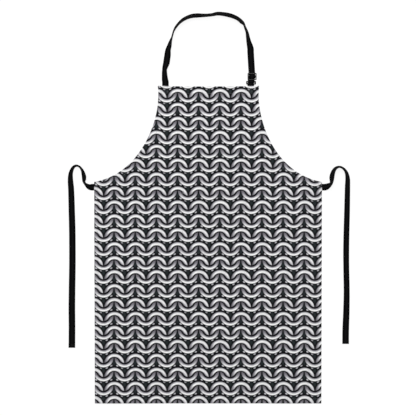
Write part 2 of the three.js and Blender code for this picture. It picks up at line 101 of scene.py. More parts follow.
def smooth_line(points, spacing):
    """Points about spacing apart on a smooth curve through the given ones, and each one's place."""
    points = [Vector(point) for point in points]
    line, places = [], []
    last = len(points) - 1
    for i in range(last):
        here, following = points[i], points[i + 1]
        before = points[i - 1] if i else here * 2 - following
        after = points[i + 2] if i + 2 <= last else following * 2 - here
        pull_in = (here - before).length ** 0.5
        pull = (following - here).length ** 0.5
        pull_out = (after - following).length ** 0.5
        leave = (here - before) / pull_in - (following - before) / (pull_in + pull)
        leave = (leave + (following - here) / pull) * pull
        arrive = (following - here) / pull - (after - here) / (pull + pull_out)
        arrive = (arrive + (after - following) / pull_out) * pull
        steps = max(2, math.ceil((following - here).length / spacing))
        for step in range(steps + (i == last - 1)):
            t = step / steps
            curve = (here - following) * 2 + leave + arrive
            bend = (following - here) * 3 - leave * 2 - arrive
            line.append(here + leave * t + bend * t * t + curve * t * t * t)
            places.append(i + t)
    return line, places


def directions(line):
    """Which way the line runs at each of its points."""
    return [
        (line[min(i + 1, len(line) - 1)] - line[max(i - 1, 0)]).normalized()
        for i in range(len(line))
    ]


def laid_webbing(points, first, last, spacing):
    """Webbing on the floor between two of its points: its middle, and its width's and its own way."""
    line, places = smooth_line([(x, y, 0) for x, y, _ in points], spacing)
    tilts = []
    for point, place in zip(line, places):
        span = min(int(place), len(points) - 2)
        tilt = points[span][2] + (points[span + 1][2] - points[span][2]) * (place - span)
        tilts.append(math.radians(tilt * twist_share))
        edge_rise = webbing_width * math.sin(tilts[-1]) + webbing_thickness * math.cos(tilts[-1])
        point.z = floor_gap + edge_rise / 2
    rows = []
    for point, place, tilt, along in zip(line, places, tilts, directions(line)):
        level = along.cross(Vector((0, 0, 1))).normalized()
        lift = level.cross(along)
        if first - 1e-6 <= place <= last + 1e-6:
            rows.append((point, level * math.cos(tilt) + lift * math.sin(tilt), along))
    return rows


def led_webbing(line, across):
    """Webbing along a line, with its width always the same way."""
    return [(point, across, along) for point, along in zip(line, directions(line))]


def webbing_section():
    """The outline of cut webbing, across and through: ribs on both faces and round woven edges."""
    half, edge = webbing_thickness / 2, webbing_width / 2 - selvedge
    crest_count = 2 * webbing_ribs
    top = []
    for i in range(crest_count + 1):
        across = -edge + 2 * edge * i / crest_count
        top.append((across, half - (0 if i % 2 else rib_depth)))
    rim = webbing_width / 2
    outline = [*top, (rim, half * 0.45), (rim, -half * 0.45)]
    outline += [(across, -through) for across, through in reversed(top)]
    return outline + [(-rim, -half * 0.45), (-rim, half * 0.45)]


def webbing_piece(name, rows, material, start_length=0.0):
    """Weaves a closed band round the rows: its map holds the way across and along it, in metres."""
    outline = webbing_section()
    count = len(outline)
    vertices, lengths, length = [], [], start_length
    for i, (middle, across, along) in enumerate(rows):
        across = (across - along * across.dot(along)).normalized()
        through = across.cross(along).normalized()
        length += (middle - rows[i - 1][0]).length if i else 0
        lengths.append(length)
        vertices += [middle + across * a + through * b for a, b in outline]
    faces, places = [], []
    for i in range(len(rows) - 1):
        for j in range(count):
            k = (j + 1) % count
            faces.append((i * count + j, (i + 1) * count + j, (i + 1) * count + k, i * count + k))
            a, b = outline[j][0], outline[k][0]
            places += [(a, lengths[i]), (a, lengths[i + 1]), (b, lengths[i + 1]), (b, lengths[i])]
    ends = [list(range(count)), list(reversed(range((len(rows) - 1) * count, len(rows) * count)))]
    for end, at in zip(ends, (lengths[0], lengths[-1])):
        faces.append(tuple(end))
        places += [(outline[j % count][0], at) for j in end]
    mesh = bpy.data.meshes.new(name)
    mesh.from_pydata(vertices, [], faces)
    weave_map = mesh.uv_layers.new(name="weave")
    for loop, place in zip(weave_map.data, places):
        loop.uv = place
    for polygon in mesh.polygons:
        polygon.use_smooth = len(polygon.vertices) == 4
    mesh.materials.append(material)
    return placed(name, mesh), length - start_length


class Amount:
    """A number in a material's tree, so that a pattern's rule reads as a sum."""

    def __init__(self, tree, socket):
        self.tree, self.socket = tree, socket

    def worked(self, operation, *others):
        step = self.tree.nodes.new("ShaderNodeMath")
        step.operation = operation
        for socket, value in zip(step.inputs, (self, *others)):
            feed(self.tree, socket, value)
        return Amount(self.tree, step.outputs[0])

    def __add__(self, other):
        return self.worked("ADD", other)

    def __sub__(self, other):
        return self.worked("SUBTRACT", other)

    def __mul__(self, other):
        return self.worked("MULTIPLY", other)

    def __truediv__(self, other):
        return self.worked("DIVIDE", other)

    def eased(self, low, high):
        """Rises smoothly from 0 at low to 1 at high."""
        step = self.tree.nodes.new("ShaderNodeMapRange")
        step.interpolation_type = "SMOOTHSTEP"
        feed(self.tree, step.inputs["Value"], self)
        step.inputs["From Min"].default_value = low
        step.inputs["From Max"].default_value = high
        return Amount(self.tree, step.outputs["Result"])

    def faded(self, low, high):
        """Falls smoothly from 1 at low to 0 at high."""
        return self.eased(low, high) * -1 + 1


def feed(tree, socket, value):
    """Links an amount, or another node's output, or sets a plain value."""
    if isinstance(value, Amount):
        tree.links.new(value.socket, socket)
    elif isinstance(value, bpy.types.NodeSocket):
        tree.links.new(value, socket)
    else:
        socket.default_value = value


def paint(code):
    """A colour written as red, green and blue in hexadecimal."""
    shares = [int(code[i : i + 2], 16) / 255 for i in (0, 2, 4)]
    return (*[s / 12.92 if s <= 0.04045 else ((s + 0.055) / 1.055) ** 2.4 for s in shares], 1)


def new_material(name, roughness):
    """A material with its shader, tree and colour still to come."""
    material = bpy.data.materials.new(name)
    material.use_nodes = True
    shader = material.node_tree.nodes["Principled BSDF"]
    shader.inputs["Roughness"].default_value = roughness
    return material, material.node_tree, shader


def between(tree, share, low, high):
    """A colour between two, by share."""
    mix = tree.nodes.new("ShaderNodeMix")
    mix.data_type = "RGBA"
    feed(tree, mix.inputs[0], share)
    feed(tree, mix.inputs[6], low)
    feed(tree, mix.inputs[7], high)
    return mix.outputs[2]


def cloud(tree, place, scale, detail=2.0):
    """Soft random variation, about 0 to 1."""
    texture = tree.nodes.new("ShaderNodeTexNoise")
    feed(tree, texture.inputs["Vector"], place)
    texture.inputs["Scale"].default_value = scale
    texture.inputs["Detail"].default_value = detail
    return Amount(tree, texture.outputs["Fac"])


def split(tree, place):
    """The parts of a place, as amounts."""
    parts = tree.nodes.new("ShaderNodeSeparateXYZ")
    feed(tree, parts.inputs[0], place)
    return [Amount(tree, output) for output in parts.outputs]


def raised(tree, shader, height, distance, strength=1.0):
    """Gives the surface fine relief."""
    bump = tree.nodes.new("ShaderNodeBump")
    bump.inputs["Strength"].default_value = strength
    bump.inputs["Distance"].default_value = distance
    feed(tree, bump.inputs["Height"], height)
    tree.links.new(bump.outputs[0], shader.inputs["Normal"])


def mapped(tree, name):
    """The piece's own map of where its cloth or webbing was before it was bent."""
    uv = tree.nodes.new("ShaderNodeUVMap")
    uv.uv_map = name
    return uv.outputs[0]


def webbing_material(name, follows_piece):
    """Black spun yarn woven in narrow ribs: each rib is a column of slanting picks."""
    material, tree, shader = new_material(name, 0.82)
    place = mapped(tree, "weave")
    across, along, _ = split(tree, place)
    if not follows_piece:
        place = tree.nodes.new("ShaderNodeTexCoord").outputs["Object"]
        _, along, height = split(tree, place)
        along = along + height * 0.8
    column = across * (webbing_ribs / (webbing_width - 2 * selvedge)) + webbing_ribs / 2
    in_column = column.worked("FRACT")
    odd = (column.worked("FLOOR") * 0.5).worked("FRACT") * 4 - 1
    picks = along * (1 / pick_length) + (in_column - 0.5) * odd * 0.7
    pick = (picks * (2 * math.pi)).worked("SINE") * 0.5 + 0.5
    # Each rib is raised at its middle for the bump, and the same share lightens the colour there: a
    # painted highlight along every rib's crown.
    rib_height_and_highlight = ((in_column - 0.5).worked("ABSOLUTE") * -2 + 1).eased(0, 0.8)
    fuzz = cloud(tree, place, 1500, 3)
    centre = (across.worked("ABSOLUTE")).faded(0.0008, 0.0032)
    # The lightness mixes the painted rib-crown highlight with the picks, the fuzz and the lighter
    # centre line.
    lightness = rib_height_and_highlight * 0.22 + pick * 0.22 + fuzz * 0.26 + centre * 0.5
    wear = cloud(tree, place, 45) * 0.25
    colour = between(tree, lightness * 0.8 + wear - 0.12, paint("000001"), paint("181819"))
    tree.links.new(colour, shader.inputs["Base Color"])
    feed(tree, shader.inputs["Roughness"], fuzz * 0.25 + 0.7)
    shader.inputs["Sheen Weight"].default_value = 0.006
    shader.inputs["Sheen Roughness"].default_value = 0.4
    shader.inputs["Specular IOR Level"].default_value = 0.03
    raised(tree, shader, rib_height_and_highlight * 0.6 + pick * 0.5 + fuzz * 0.3, 0.00018, 0.8)
    return material


webbing = webbing_material("webbing", True)

tuck_start = bib_top - strap_tuck
tucked_line = [Vector((-strap_middle, tuck_start + 0.003 * i, flat_level)) for i in range(8)]
neck_rows = led_webbing(tucked_line, Vector((1, 0, 0)))
neck_rows += laid_webbing(neck_points, 0, run_takes_over, 0.0028)
neck_strap, neck_length = webbing_piece("neck_strap_webbing", neck_rows, webbing)
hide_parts("neck_strap", "neck_strap_end")
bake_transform(neck_strap)

# ---- Waist ties ----
# Two lengths of the same webbing, one tucked into each side hem. Each turns up beside the armhole
# corner, bends over and runs down beside the skirt. Its cut tip is turned over and sewn down.
tie_hinge_x = 0.32895
tie_y = 0.165
tie_tuck = 0.012
tip_turning = 0.012
turning_radius = 0.00052

# Outwards from the side seam, along it, and tilt in degrees.
left_tie_route = [
    (0, 0, 0), (0.006, 0, 5), (0.0124, 0.0017, 32), (0.019, 0.0057, 60), (0.0242, 0.0103, 72),
    (0.0267, 0.0155, 66), (0.0268, 0.022, 52), (0.027, 0.0293, 48), (0.0284, 0.0365, 52),
    (0.0306, 0.0446, 62), (0.035, 0.053, 72), (0.041, 0.0593, 77), (0.0483, 0.0617, 77),
    (0.0555, 0.059, 75), (0.061, 0.0514, 68), (0.0647, 0.0413, 60), (0.0661, 0.0293, 50),
    (0.0658, 0.015, 40), (0.0644, -0.0023, 34), (0.0632, -0.037, 28), (0.0624, -0.0713, 24),
    (0.0612, -0.117, 20), (0.0607, -0.169, 18), (0.0607, -0.221, 18), (0.0618, -0.295, 14),
    (0.0624, -0.347, 8), (0.0621, -0.399, 0), (0.0624, -0.4605, 0),
]
right_tie_route = [
    (0, 0, 0), (0.007, 0, 5), (0.0142, 0.0024, 32), (0.0208, 0.007, 60), (0.025, 0.0127, 72),
    (0.0259, 0.02, 58), (0.0262, 0.028, 48), (0.0279, 0.037, 52), (0.0316, 0.0471, 62),
    (0.0382, 0.0552, 70), (0.0477, 0.0583, 76), (0.0566, 0.0552, 72), (0.0644, 0.0477, 66),
    (0.069, 0.038, 56), (0.0716, 0.0235, 44), (0.0713, 0.0034, 36), (0.0707, -0.031, 32),
    (0.0698, -0.077, 28), (0.0684, -0.129, 26), (0.0675, -0.186, 24), (0.0678, -0.232, 26),
    (0.069, -0.301, 24), (0.0681, -0.359, 14), (0.0664, -0.41, 0), (0.0661, -0.4494, 0),
]

tie_rows = {}
for side_name, side, route in (("left", -1, left_tie_route), ("right", 1, right_tie_route)):
    points = [(side * (tie_hinge_x + out), tie_y + up, tilt) for out, up, tilt in route]
    tucked_x = [side * (tie_hinge_x - tie_tuck + 0.002 * i) for i in range(6)]
    tucked_line = [Vector((x, tie_y, flat_level)) for x in tucked_x]
    rows = led_webbing(tucked_line, Vector((0, -side, 0)))
    rows += laid_webbing(points, 0, len(points) - 1, 0.0032)
    tip, across, _ = rows[-1]
    turned_line = [tip]
    for turn in range(1, 9):
        angle = math.radians(22.5 * turn)
        down = turning_radius * math.sin(angle)
        rise = turning_radius * (1 - math.cos(angle))
        turned_line.append(tip + Vector((0, -down, rise)))
    for step in range(1, 5):
        turned_line.append(tip + Vector((0, tip_turning * step / 4, 2 * turning_radius)))
    rows += led_webbing(turned_line, across)[1:]
    tie, _ = webbing_piece(f"{side_name}_waist_tie_webbing", rows, webbing)
    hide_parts(f"{side_name}_tie", f"{side_name}_tie_end")
    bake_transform(tie)
    tie_rows[side_name] = rows

# ---- Adjusting run ----
# The strap's right end, threaded by hand: under the slider's top bar, over its middle bar, under
# its bottom bar, over and round the ring, and back to a tail sewn round the middle bar.
slider_bar = 0.0028
slider_height = 0.0202
slider_y = 0.4827
slider_level = 0.0049
under_bar = 0.00295
over_bar = 0.00805
middle_bar_side = 0.00215
middle_bar_top = 0.00685
tail_level = 0.00175
ring_bar_from_slider = -0.0136
wrap_radius = 0.00225
ring_level = 0.0028
run_top = 0.0732
run_shift = 0.0036
run_top_shift = -0.0006
run_ring_shift = -0.0028

# Distance up from the slider's middle, and height.
half_height = slider_height / 2
half_bar = slider_bar / 2
run_down = [
    (run_top, flat_level), (0.0491, flat_level), (0.025, flat_level + 0.0001),
    (0.015, under_bar - 0.0017), (half_height + 0.001, under_bar - 0.0009),
    (half_height - 0.002, under_bar - 0.00065), (half_height - 0.0035, under_bar - 0.00005),
    (half_bar + 0.0042, under_bar + 0.00125), (half_bar + 0.0032, slider_level + 0.0009),
    (half_bar + 0.0021, over_bar - 0.00095), (half_bar + 0.0004, over_bar - 0.00015),
    (0, over_bar), (-half_bar - 0.0004, over_bar - 0.00015),
    (-half_bar - 0.0021, over_bar - 0.00095), (-half_bar - 0.0032, slider_level + 0.0009),
    (-half_bar - 0.0042, under_bar + 0.0013), (-half_height + 0.0039, under_bar + 0.00025),
    (-half_height + 0.0027, under_bar), (-half_height + 0.0009, under_bar),
    (-half_height - 0.0004, under_bar + 0.00008), (-0.0112, under_bar + 0.00075),
]
loop_slack = 0.0019


def fold_round_bar(degrees, slackest):
    """A place on webbing folded round a bar: tight on it, but slack inside the ring's opening."""
    turn = math.radians(degrees)
    slack = max(0, math.cos(math.radians(degrees - slackest))) ** 6
    radius = wrap_radius + loop_slack * slack
    return radius * math.cos(turn), radius * math.sin(turn)


run_wrap = []
for degrees in range(30, 271, 15):
    along, rise = fold_round_bar(degrees, 160)
    run_wrap.append((ring_bar_from_slider + along, ring_level + rise))
run_back = [
    (-half_height - 0.0009, flat_level), (-0.005, flat_level), (0.0002, flat_level + 0.0001),
    (middle_bar_side - 0.00015, flat_level + 0.0008), (middle_bar_side + 0.0002, under_bar - 0.0003),
    (middle_bar_side, slider_level), (middle_bar_side - 0.0004, middle_bar_top - 0.0005),
    (0, middle_bar_top), (-middle_bar_side + 0.0004, middle_bar_top - 0.0005),
    (-middle_bar_side, slider_level), (-middle_bar_side - 0.0002, under_bar),
    (-middle_bar_side - 0.0012, tail_level + 0.00025), (-middle_bar_side - 0.0028, tail_level),
    (-half_height - 0.0009, tail_level),
]


def run_place(along, height):
    """A point of the run: it drifts a little sideways from the slider to the ring and to its top."""
    share = max(along, 0) / run_top
    below = min(max((-along - 0.002) / 0.009, 0), 1)
    x = strap_middle + run_shift + (run_top_shift - run_shift) * share + run_ring_shift * below
    return Vector((x, slider_y + along, height))


run_points = [run_place(*point) for point in run_down + run_wrap + run_back]
run_line, run_places = smooth_line(run_points, 0.0005)
# The run is cut in two at the point of run_down that is on top of the middle bar.
split_at = 11
across_apron = Vector((1, 0, 0))
upper_rows = laid_webbing(neck_points, run_takes_over, len(neck_points) - 1, 0.0028)
run_rows = led_webbing(run_line, -across_apron)
upper_rows += [
    row for row, place in zip(run_rows, run_places) if 0.02 < place <= split_at + 1e-6
]
lower_rows = [row for row, place in zip(run_rows, run_places) if place >= split_at - 1e-6]
upper_run, _ = webbing_piece("strap_run_above_slider", upper_rows, webbing, neck_length)
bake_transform(upper_run)
threaded_webbing = webbing_material("threaded_webbing", False)
lower_run, _ = webbing_piece("strap_run_round_ring", lower_rows, threaded_webbing)
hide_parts("strap_adjusting_run")
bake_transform(lower_run)

# ---- Strap tab ----
# A short length of webbing folded round the ring's lower bar. Both its layers go into the top hem.
tab_points = [Vector((0, tuck_start + 0.004 * i, flat_level)) for i in range(6)]
for degrees in range(-90, 136, 15):
    along, rise = fold_round_bar(degrees, -20)
    tab_points.append(Vector((0, neck_hinge_y + along, ring_level + rise)))
tab_points += [Vector((0, bib_top, 0.00152)), Vector((0, bib_top - 0.006, 0.00148))]
tab_points += [Vector((0, bib_top - 0.012, 0.00148)), Vector((0, tuck_start, 0.00148))]
for point in tab_points:
    point.x = strap_middle
tab_rows = led_webbing(smooth_line(tab_points, 0.0006)[0], across_apron)
strap_tab, _ = webbing_piece("strap_tab_webbing", tab_rows, webbing)
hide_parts("strap_tab")
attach(strap_tab, "apron")

# ---- Ring and slider ----
# Two moulded frames of black plastic with rounded bars: the ring has one opening, the slider two
# with a middle bar between them. Both come out of the mould with softly polished faces.
plastic, plastic_tree, plastic_shader = new_material("moulded_plastic", 0.38)
plastic_place = plastic_tree.nodes.new("ShaderNodeTexCoord").outputs["Object"]
flow = cloud(plastic_tree, plastic_place, 260, 4)
scuffs = cloud(plastic_tree, plastic_place, 1400, 3)
plastic_tree.links.new(
    between(plastic_tree, flow * 0.7 + scuffs * 0.3, paint("060607"), paint("141416")),
    plastic_shader.inputs["Base Color"],
)
feed(plastic_tree, plastic_shader.inputs["Roughness"], scuffs * 0.25 + 0.22)
plastic_shader.inputs["Specular IOR Level"].default_value = 0.45
raised(plastic_tree, plastic_shader, flow * 0.5 + scuffs * 0.5, 0.00006)


def rounded_outline(width, height, radius, middle, sideways=0.0):
    """The corners of a rounded rectangle, anticlockwise."""
    corners = []
    for start, right, top in ((-90, 1, -1), (0, 1, 1), (90, -1, 1), (180, -1, -1)):
        for step in range(9):
            angle = math.radians(start + 90 * step / 8)
            x = right * (width / 2 - radius) + radius * math.cos(angle)
            y = top * (height / 2 - radius) + radius * math.sin(angle)
            corners.append((x + sideways, y + middle))
    return corners


def smooth_by_angle(mesh, degrees):
    """Joins loose corners and shades rounded edges smoothly, keeping sharp ones sharp."""
    work = bmesh.new()
    work.from_mesh(mesh)
    bmesh.ops.remove_doubles(work, verts=work.verts, dist=2e-6)
    bmesh.ops.recalc_face_normals(work, faces=work.faces)
    for face in work.faces:
        face.smooth = True
    for edge in work.edges:
        edge.smooth = len(edge.link_faces) == 2 and edge.calc_face_angle(0) < math.radians(degrees)
    work.to_mesh(mesh)
    work.free()


def moulding(name, outlines, thickness, rounding, place):
    """Fills the first outline, leaves out the others and rounds every edge."""
    curve = bpy.data.curves.new(name, "CURVE")
    curve.dimensions = "2D"
    curve.fill_mode = "BOTH"
    curve.extrude = thickness / 2 - rounding
    curve.bevel_depth = rounding
    curve.bevel_resolution = 4
    curve.offset = -rounding
    for outline in outlines:
        spline = curve.splines.new("POLY")
        spline.points.add(len(outline) - 1)
        for point, (x, y) in zip(spline.points, outline):
            point.co = (x, y, 0, 1)
        spline.use_cyclic_u = True
    pattern = bpy.data.objects.new(name, curve)
    mesh = bpy.data.meshes.new_from_object(pattern)
    mesh.name = name
    bpy.data.objects.remove(pattern)
    for vertex in mesh.vertices:
        vertex.co += Vector(place)
    mesh.materials.clear()
    mesh.materials.append(plastic)
    smooth_by_angle(mesh, 40)
    return placed(name, mesh)


ring_outside, ring_opening = (0.0284, 0.0108), (0.0203, 0.0056)
ring_thickness, slider_thickness = 0.0026, 0.0024
edge_rounding = 0.0011
ring_y = 0.465
ring = moulding(
    "strap_ring_moulding",
    [
        rounded_outline(*ring_outside, 0.0026, 0),
        rounded_outline(*ring_opening, 0.0012, 0, -0.0004),
    ],
    ring_thickness, edge_rounding, (strap_middle + 0.0008, ring_y, ring_level),
)
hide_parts("strap_ring")
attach(ring, "neck_loop")

slider_width = 0.0259
slot, slot_middle = (0.0198, 0.0059), 0.00435
slider = moulding(
    "strap_slider_moulding",
    [
        rounded_outline(slider_width, slider_height, 0.0022, 0),
        rounded_outline(*slot, 0.001, slot_middle),
        rounded_outline(*slot, 0.001, -slot_middle),
    ],
    slider_thickness, edge_rounding, (strap_middle + run_shift, slider_y, slider_level),
)
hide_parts("strap_slider")
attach(slider, "slider")

# ---- Cloth panel ----
# One piece of plain-woven cloth, printed on its face with interlinked rings. Every edge is turned
# twice to the back and sewn. It lies slack, resting on its hems, over the strap ends in them.
cloth_thickness = 0.0004
bib_half = 0.1455
waist_half = 0.327
skirt_half = 0.325
panel_bottom = -0.456
side_corner = 0.18
side_rows = 127
armhole_rows = 76
bottom_hem, side_hem, armhole_hem, top_hem = 0.015, 0.012, 0.009, 0.022
hem_front, hem_middle, hem_back = 0.0023, 0.00125, 0.00045
seam_inset = 0.002
edge_columns = (0.0, 0.003, 0.006, 0.0085, 0.0105, 0.0125, 0.015, 0.019, 0.024)
middle_columns = 106
top_sag = 0.0019
top_sag_reach = 0.09
bib_lean = 0.001
lean_start, lean_reach = 0.28, 0.08


def panel_edge(row):
    """Half the panel's width, and the height up it, at a row counted from the bottom."""
    if row <= side_rows:
        share = row / side_rows
        half = skirt_half + (waist_half - skirt_half) * share
        return half, panel_bottom + (side_corner - panel_bottom) * share
    t = (row - side_rows) / armhole_rows
    pulls = ((waist_half, side_corner), (0.189, 0.2043), (0.1335, 0.367), (bib_half, bib_top))
    shares = ((1 - t) ** 3, 3 * t * (1 - t) ** 2, 3 * t * t * (1 - t), t ** 3)
    return tuple(sum(s * pull[k] for s, pull in zip(shares, pulls)) for k in (0, 1))


def column_places(half):
    """Where the columns of a row lie: close together inside both edges, and even between."""
    inner = half - edge_columns[-1] * 1.3
    left = [-half + place for place in edge_columns]
    even = [inner * (2 * i / middle_columns - 1) for i in range(middle_columns + 1)]
    return left + even + [-place for place in reversed(left)]


panel_rows = []
for row in range(side_rows + armhole_rows + 1):
    half, y = panel_edge(row)
    near_top = max(0, 1 - (bib_top - y) / top_sag_reach) ** 2
    lean = bib_lean * min(max((y - lean_start) / lean_reach, 0), 1)
    panel_rows.append([
        (x + lean, y - top_sag * near_top * (1 - (x / half) ** 2)) for x in column_places(half)
    ])

# Where the webbing is tucked in: its middle, half its width and height, and how much it adds.
strap_ends = (
    (-strap_middle, bib_top - 0.0075, webbing_width / 2, 0.0125, webbing_thickness),
    (strap_middle, bib_top - 0.0075, webbing_width / 2, 0.0125, 2 * webbing_thickness),
    (-waist_half + 0.004, tie_y, 0.007, webbing_width / 2, webbing_thickness),
    (waist_half - 0.004, tie_y, 0.007, webbing_width / 2, webbing_thickness),
)
lift_reach = 0.0035


def ease(share):
    """Rises from 0 to 1, slowly at both ends."""
    share = min(max(share, 0), 1)
    return share * share * (3 - 2 * share)


def lifted(x, y):
    """How far the webbing tucked into a hem lifts the cloth here."""
    most = 0
    for middle_x, middle_y, half_x, half_y, depth in strap_ends:
        off = max(abs(x - middle_x) - half_x, abs(y - middle_y) - half_y, 0)
        most = max(most, depth * ease(1 - off / lift_reach))
    return most


class Cut:
    """The outline of a piece of cloth, as sides that each have a hem."""

    def __init__(self, rows, side_lists, hems):
        self.rows = rows
        self.sides = side_lists
        self.hems = hems
        self.loop = [point for side in side_lists for point in side[:-1]]
        self.tree = kdtree.KDTree(len(self.loop))
        self.hem_at = []
        for side, hem in zip(side_lists, hems):
            self.hem_at += [hem] * (len(side) - 1)
        for i, (x, y) in enumerate(self.loop):
            self.tree.insert((x, y, 0), i)
        self.tree.balance()

    def moved_in(self, distance_of):
        """The outline, moved inwards by each side's own distance, its corners mitred."""
        moved, ends = [], []
        for side, hem in zip(self.sides, self.hems):
            line = [Vector(point) for point in side]
            inward = []
            for i in range(len(line)):
                along = (line[min(i + 1, len(line) - 1)] - line[max(i - 1, 0)]).normalized()
                inward.append(Vector((-along.y, along.x)))
            distance = distance_of(hem)
            moved.append([point + n * distance for point, n in zip(line, inward)])
            ends.append((inward[0], inward[-1], distance))
        count = len(moved)
        mitres = []
        for i in range(count):
            n1, d1 = ends[i - 1][1], ends[i - 1][2]
            n2, d2 = ends[i][0], ends[i][2]
            turn = n1.x * n2.y - n1.y * n2.x
            corner = Vector(self.sides[i][0])
            mitres.append(corner + Vector((d1 * n2.y - d2 * n1.y, d2 * n1.x - d1 * n2.x)) / turn)
        loop = []
        for i in range(count):
            line = moved[i]
            at_start = mitres[i] - line[0]
            at_end = mitres[(i + 1) % count] - line[-1]
            last = len(line) - 1
            for k in range(last):
                loop.append(line[k] + at_start * (1 - k / last) + at_end * (k / last))
        return loop

    def from_edge(self, x, y):
        """How far a point is from the cut's edge, that side's hem, and how far along the edge."""
        (_, i, distance) = self.tree.find((x, y, 0))
        return distance, self.hem_at[i], i


def sides_of(rows, corner_rows):
    """Walks round the rows' edge anticlockwise from the bottom left, breaking at the given rows."""
    breaks = [0, *corner_rows, len(rows) - 1]
    right = [[rows[r][-1] for r in range(a, b + 1)] for a, b in zip(breaks, breaks[1:])]
    left = [[rows[r][0] for r in range(b, a - 1, -1)] for a, b in zip(breaks, breaks[1:])]
    return [list(rows[0]), *right, list(reversed(rows[-1])), *reversed(left)]


panel_cut = Cut(
    panel_rows,
    sides_of(panel_rows, [side_rows]),
    [bottom_hem, side_hem, armhole_hem, top_hem, armhole_hem, side_hem],
)


# Waves in the cloth: how many a metre across and up, which of the noise's layers, and how high.
hem_waves = ((7.3, 6.1, 21.7, 0.0062), (19, 17, 3.3, 0.0018))
slack_waves = ((5.2, 4.1, 1.3, 0.0021), (13, 9, 7.9, 0.0009), (31, 26, 4.1, 0.00025))


def waves(x, y, layers):
    """How far broad and fine waves together raise the cloth here."""
    return sum(noise.noise(Vector((x * a, y * b, layer))) * rise for a, b, layer, rise in layers)


def ripple(x, y):
    """How far the cloth and its hems rise off the floor, but not where the straps hold them."""
    held = min(math.dist((x, y), strap_end[:2]) for strap_end in strap_ends)
    return max(0, waves(x, y, hem_waves) - 0.0002) * ease((held - 0.03) / 0.05)


def panel_height(x, y):
    """How high the middle of the panel's front layer lies: full over the hems, slack between them."""
    distance, hem, along = panel_cut.from_edge(x, y)
    slack = ease((distance - hem) / 0.03)
    seam = math.exp(-(((distance - hem + seam_inset) / 0.0035) ** 2))
    pucker = noise.noise(Vector((along * 0.33, 3.7, 0))) * 0.0005 * seam
    step = min(max((distance - hem) / 0.006, 0), 1)
    draw = noise.noise(Vector((along * 0.12, distance * 9, 9.4))) * 0.0009
    draw *= math.exp(-(((distance - hem - 0.012) / 0.02) ** 2))
    height = hem_front - 0.0004 * step - 0.0002 * slack + pucker + draw
    height += waves(x, y, slack_waves) * slack
    return max(height, 0.0007) - 0.0002 * seam + lifted(x, y) * 0.9 + ripple(x, y)


def panel_back(x, y):
    """How high the middle of the layer that a hem turns to the back lies."""
    return hem_back + lifted(x, y) * 1.1 + ripple(x, y)


def folded_cloth(name, cut, height_at, back_at, layers, materials, double):
    """Folds a sheet along its outline: the front rolls over to the back and, for a hem, in again."""
    front, middle, back = layers
    roll = (front - back) / 2
    inner_roll = (middle - back) / 2
    profile = []
    for step in range(7):
        angle = math.pi * step / 6
        profile.append((0, roll - roll * math.sin(angle), 0.5 + 0.5 * math.cos(angle)))
    for step in (1, 2, 3):
        profile.append((step / 3, 0, 0))
    layer_share = (middle - back) / (front - back)
    if double:
        for step in (1, 2, 3, 4):
            angle = math.pi * step / 4
            rise = layer_share * (0.5 - 0.5 * math.cos(angle))
            profile.append((1, inner_roll * math.sin(angle), rise))
        profile += [(0.5, 0, layer_share), (0.12, 0, layer_share)]
    count_across = len(cut.rows[0])
    vertices, flat = [], []
    for cells in cut.rows:
        for x, y in cells:
            vertices.append((x, y, height_at(x, y)))
            flat.append((x, y))
    last_row = len(cut.rows) - 1
    ring_ids = list(range(count_across - 1))
    ring_ids += [r * count_across + count_across - 1 for r in range(last_row)]
    ring_ids += [last_row * count_across + i for i in range(count_across - 1, 0, -1)]
    ring_ids += [r * count_across for r in range(last_row, 0, -1)]
    faces = [
        (r * count_across + c, r * count_across + c + 1,
         (r + 1) * count_across + c + 1, (r + 1) * count_across + c)
        for r in range(last_row) for c in range(count_across - 1)
    ]

    def depth(hem, step):
        share, extra, _ = profile[step]
        return extra if share == 0 else roll + (hem - roll - inner_roll) * share + extra

    def cloth_used(hem, step):
        """How much of the cloth's length a fold has taken by this step."""
        places = [(depth(hem, k), profile[k][2] * (front - back)) for k in range(step + 1)]
        return sum(math.dist(p, q) for p, q in zip(places, places[1:]))

    outer = ring_ids
    for step, (_, _, level) in enumerate(profile):
        loop = cut.moved_in(lambda hem, step=step: depth(hem, step))
        unfolded = cut.moved_in(lambda hem, step=step: roll - cloth_used(hem, step))
        ids = ring_ids
        if step:
            ids = range(len(vertices), len(vertices) + len(loop))
            vertices += [None] * len(loop)
            flat += [None] * len(loop)
        for i, point, cut_point in zip(ids, loop, unfolded):
            top, bottom = height_at(point.x, point.y), back_at(point.x, point.y)
            vertices[i] = (point.x, point.y, bottom + (top - bottom) * level)
            flat[i] = tuple(cut_point)
        if step:
            faces += [
                (outer[i], ids[i], ids[(i + 1) % len(ids)], outer[(i + 1) % len(ids)])
                for i in range(len(ids))
            ]
        outer = ids
    mesh = bpy.data.meshes.new(name)
    mesh.from_pydata(vertices, [], faces)
    print_map = mesh.uv_layers.new(name="print")
    for loop in mesh.loops:
        print_map.data[loop.index].uv = flat[loop.vertex_index]
    for polygon in mesh.polygons:
        polygon.use_smooth = True
    for material in materials:
        mesh.materials.append(material)
    cloth = placed(name, mesh)
    thick = cloth.modifiers.new("thickness", "SOLIDIFY")
    thick.thickness = cloth_thickness
    thick.offset = 0
    thick.material_offset = 1
    thick.material_offset_rim = 1
    return cloth


# One ring's share of the print in millimetres, its bar's half width, and where the rows start.
print_column, print_row = 60.67, 40.056
ring_bar_half = 4.9
first_row_y = 0.45691
column_shift = 0.0033


